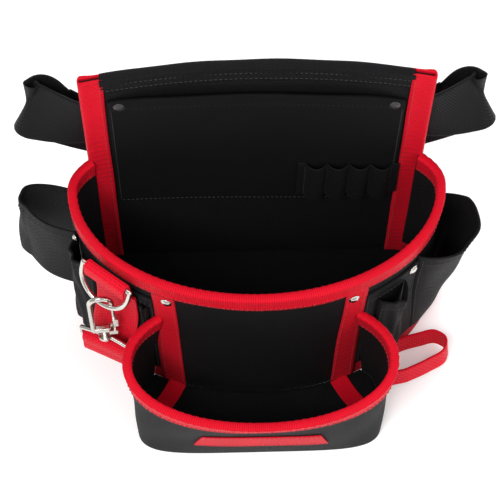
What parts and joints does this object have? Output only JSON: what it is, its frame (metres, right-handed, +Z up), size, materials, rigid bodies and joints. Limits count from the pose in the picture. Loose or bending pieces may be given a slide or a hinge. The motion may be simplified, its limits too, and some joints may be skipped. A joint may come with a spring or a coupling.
{
  "type": "electrician tool pouch",
  "caption": "Open-topped black fabric tool pouch with red bindings, a front pocket, side tool pockets, a hammer loop, a strap on a swivel snap hook and a waist belt.",
  "frame": {"origin": "on the surface the pouch stands on, under the middle of the back panel's rear face", "axes": "+Z up, -Y to the front of the pouch, +X to the wearer's left as the pouch is seen from the front on the right"},
  "size_m": [0.3559, 0.2261, 0.266],
  "materials": {
    "black_fabric": "woven 600D polyester, matt",
    "black_lining": "plain woven lining, matt",
    "black_webbing": "ribbed webbing, satin",
    "black_elastic": "ribbed elastic tape",
    "red_tape": "grosgrain binding tape",
    "red_webbing": "woven webbing, satin",
    "red_fabric": "woven fabric, matt",
    "nickel": "nickel-plated steel, polished",
    "nickel_rivet": "nickel-plated rivet heads",
    "black_rivet": "black lacquered rivet heads",
    "black_acetal": "moulded acetal, satin"
  },
  "bodies": {
    "pouch": {"back_panel": "black_fabric", "back_top_band": "black_fabric", "left_back_binding": "red_tape", "right_back_binding": "red_tape", "inner_slip_pocket": "black_lining", "inner_elastic_loops": "black_elastic", "front_panel": "black_fabric", "right_side_panel": "black_fabric", "left_side_panel": "black_fabric", "right_lower_panel": "red_fabric", "left_lower_panel": "red_fabric", "bottom_panel": "black_fabric", "main_rim_binding": "red_tape", "right_front_seam_binding": "red_tape", "left_front_seam_binding": "red_tape", "left_tool_sleeve": "black_fabric", "left_small_pocket": "black_fabric", "left_flat_band": "black_fabric", "left_band_tail": "black_fabric", "right_tool_pocket": "black_fabric", "right_flat_band": "black_fabric", "right_band_tail": "black_fabric", "right_pen_pocket": "black_fabric", "left_pen_pocket": "black_fabric", "front_pocket_wall": "black_fabric", "front_pocket_binding": "red_tape", "front_pocket_floor": "black_fabric", "right_pocket_floor_binding": "red_tape", "left_pocket_floor_binding": "red_tape", "label_strip": "red_tape", "side_rivets": "nickel_rivet", "slip_pocket_rivets": "black_rivet", "hammer_loop": "red_webbing", "ring_webbing": "red_webbing", "tape_strap": "red_webbing", "belt_tunnel": "black_fabric", "belt_front": "black_webbing", "left_belt_rear": "black_webbing", "right_belt_rear": "black_webbing", "buckle_socket": "black_acetal", "buckle_frame": "black_acetal"},
    "ring": {"d_ring": "nickel"},
    "swivel_base": {"hook_base": "nickel", "strap_end": "red_webbing"},
    "hook": {"hook_body": "nickel", "hook_gate_pin": "nickel"},
    "gate": {"hook_gate": "nickel"},
    "lower_latch": {"lower_latch": "black_acetal"},
    "upper_latch": {"upper_latch": "black_acetal"}
  },
  "joints": [
    {"name": "strap_swing", "type": "hinge", "parent": "pouch", "child": "swivel_base", "pos_m": [-0.11273, -0.1007, 0.03399], "axis": [0.891, -0.454, 0], "range_deg": [0, 2]},
    {"name": "ring_swing", "type": "hinge", "parent": "pouch", "child": "ring", "pos_m": [-0.10812, -0.09595, 0.143], "axis": [0.7811, -0.6244, 0], "range_deg": [-12, 12]},
    {"name": "hook_swivel", "type": "hinge", "parent": "swivel_base", "child": "hook", "pos_m": [-0.11416, -0.10351, 0.06579], "axis": [0, 0, 1], "range_deg": [-6, 4]},
    {"name": "gate_open", "type": "hinge", "parent": "hook", "child": "gate", "pos_m": [-0.10618, -0.10295, 0.07379], "axis": [0.0698, -0.9976, 0], "range_deg": [0, 16], "stiffness_Nm_per_rad": 0.05, "springref_deg": -5.73},
    {"name": "upper_latch_press", "type": "hinge", "parent": "pouch", "child": "upper_latch", "pos_m": [-0.009, 0.0215, 0.158], "axis": [0, 1, 0], "range_deg": [0, 6], "stiffness_Nm_per_rad": 0.6},
    {"name": "lower_latch_press", "type": "hinge", "parent": "pouch", "child": "lower_latch", "pos_m": [-0.009, 0.0215, 0.118], "axis": [0, -1, 0], "range_deg": [0, 6], "stiffness_Nm_per_rad": 0.6}
  ],
  "couplings": [
    {"joint": "ring_swing", "follows": "strap_swing", "ratio": -3.178}
  ]
}
